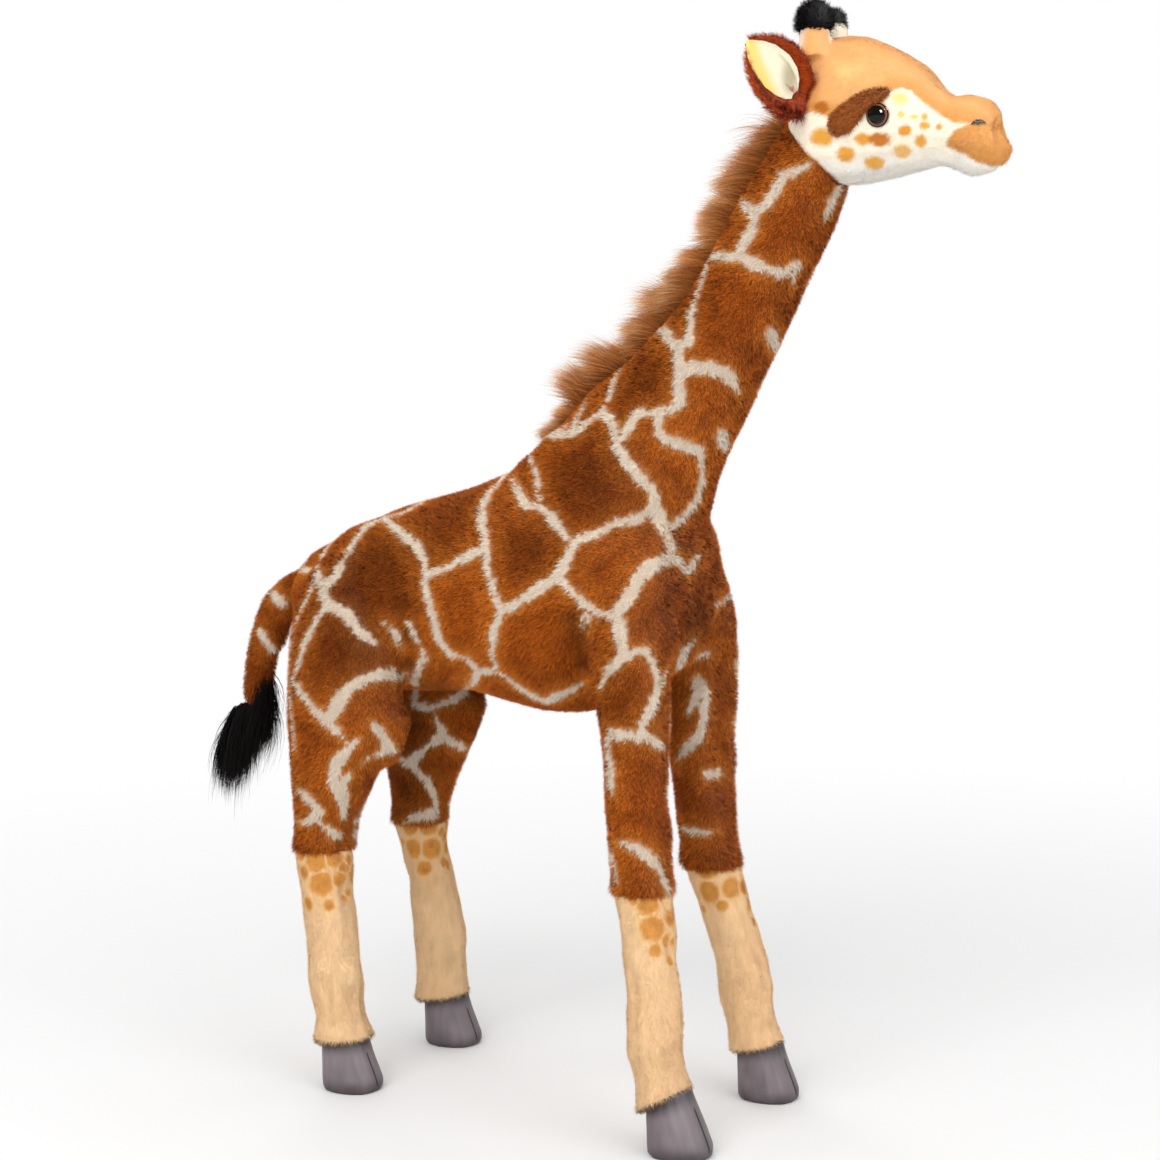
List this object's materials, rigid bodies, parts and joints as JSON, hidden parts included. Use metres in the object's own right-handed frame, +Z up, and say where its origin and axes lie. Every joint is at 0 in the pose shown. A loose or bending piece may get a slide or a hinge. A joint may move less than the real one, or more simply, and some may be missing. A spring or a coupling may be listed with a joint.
{
  "type": "plush giraffe",
  "caption": "Standing stuffed giraffe with patchwork plush body, velour lower legs and face, satin hooves, a faux-fur mane and a tufted tail.",
  "frame": {"origin": "middle of the toy's bounding box, on the floor that its hooves stand on", "axes": "+X towards the nose, +Y to the toy's own left, +Z up"},
  "size_m": [0.5936, 0.1642, 0.7012],
  "materials": {
    "plush": "long-pile plush, brown patches with cream lines",
    "mane_fur": "long faux fur, golden brown",
    "tan_velour": "short velour, tan",
    "ivory_velour": "short velour, ivory",
    "peach_velour": "short velour, peach cream with airbrushed spots",
    "brow_plush": "short plush, brown",
    "rust_plush": "plush, rust brown",
    "ear_felt": "felt, ivory with a yellow edge",
    "black_fur": "long faux fur, black",
    "hoof_satin": "satin, taupe grey",
    "eye_plastic": "glossy black with a brown ring",
    "washer_plastic": "natural moulded plastic",
    "sole_plastic": "stiff moulded sheet",
    "frame_wire": "soft annealed steel wire"
  },
  "bodies": {
    "torso_body": {"torso": "plush", "spine_wire": "frame_wire"},
    "neck_body": {"neck": "plush", "neck_wire": "frame_wire", "mane": "mane_fur"},
    "head_body": {"head": "tan_velour", "chin": "ivory_velour", "eye_left": "eye_plastic", "eye_right": "eye_plastic", "eye_washer_left": "washer_plastic", "eye_washer_right": "washer_plastic", "brow_left": "brow_plush", "brow_right": "brow_plush", "ossicone_left": "tan_velour", "ossicone_right": "tan_velour", "ossicone_tuft_left": "black_fur", "ossicone_tuft_right": "black_fur"},
    "ear_left_body": {"ear_left": "rust_plush", "ear_lining_left": "ear_felt"},
    "ear_right_body": {"ear_right": "rust_plush", "ear_lining_right": "ear_felt"},
    "tail_body": {"tail": "plush", "tail_tuft": "black_fur", "tail_wire": "frame_wire"},
    "leg_front_left_body": {"upper_leg_front_left": "plush", "leg_sleeve_front_left": "peach_velour", "hoof_front_left": "hoof_satin", "sole_plate_front_left": "sole_plastic", "leg_wire_front_left": "frame_wire"},
    "leg_front_right_body": {"upper_leg_front_right": "plush", "leg_sleeve_front_right": "peach_velour", "hoof_front_right": "hoof_satin", "sole_plate_front_right": "sole_plastic", "leg_wire_front_right": "frame_wire"},
    "leg_hind_left_body": {"upper_leg_hind_left": "plush", "leg_sleeve_hind_left": "peach_velour", "hoof_hind_left": "hoof_satin", "sole_plate_hind_left": "sole_plastic", "leg_wire_hind_left": "frame_wire"},
    "leg_hind_right_body": {"upper_leg_hind_right": "plush", "leg_sleeve_hind_right": "peach_velour", "hoof_hind_right": "hoof_satin", "sole_plate_hind_right": "sole_plastic", "leg_wire_hind_right": "frame_wire"}
  },
  "joints": [
    {"name": "neck_bend", "type": "hinge", "parent": "torso_body", "child": "neck_body", "pos_m": [0.02078, 0, 0.352], "axis": [0, 1, 0], "range_deg": [-8, 10]},
    {"name": "head_nod", "type": "hinge", "parent": "neck_body", "child": "head_body", "pos_m": [0.18578, 0, 0.635], "axis": [0, 1, 0], "range_deg": [-10, 14]},
    {"name": "ear_left_flap", "type": "hinge", "parent": "head_body", "child": "ear_left_body", "pos_m": [0.17855, 0.02511, 0.63188], "axis": [-0.4373, 0.4684, -0.7677], "range_deg": [-15, 15], "stiffness_Nm_per_rad": 0.05},
    {"name": "ear_right_flap", "type": "hinge", "parent": "head_body", "child": "ear_right_body", "pos_m": [0.17855, -0.02511, 0.63188], "axis": [0.4373, 0.4684, 0.7677], "range_deg": [-15, 15], "stiffness_Nm_per_rad": 0.05},
    {"name": "tail_lift", "type": "hinge", "parent": "torso_body", "child": "tail_body", "pos_m": [-0.20522, 0, 0.339], "axis": [0, 1, 0], "range_deg": [-12, 35]},
    {"name": "leg_front_left_swing", "type": "hinge", "parent": "torso_body", "child": "leg_front_left_body", "pos_m": [0.08078, 0.0455, 0.29], "axis": [0, 1, 0], "range_deg": [-5, 5]},
    {"name": "leg_front_right_swing", "type": "hinge", "parent": "torso_body", "child": "leg_front_right_body", "pos_m": [0.08078, -0.0455, 0.29], "axis": [0, 1, 0], "range_deg": [-5, 5]},
    {"name": "leg_hind_left_swing", "type": "hinge", "parent": "torso_body", "child": "leg_hind_left_body", "pos_m": [-0.14622, 0.047, 0.3], "axis": [0, 1, 0], "range_deg": [-5, 5]},
    {"name": "leg_hind_right_swing", "type": "hinge", "parent": "torso_body", "child": "leg_hind_right_body", "pos_m": [-0.14622, -0.047, 0.3], "axis": [0, 1, 0], "range_deg": [-5, 5]}
  ]
}
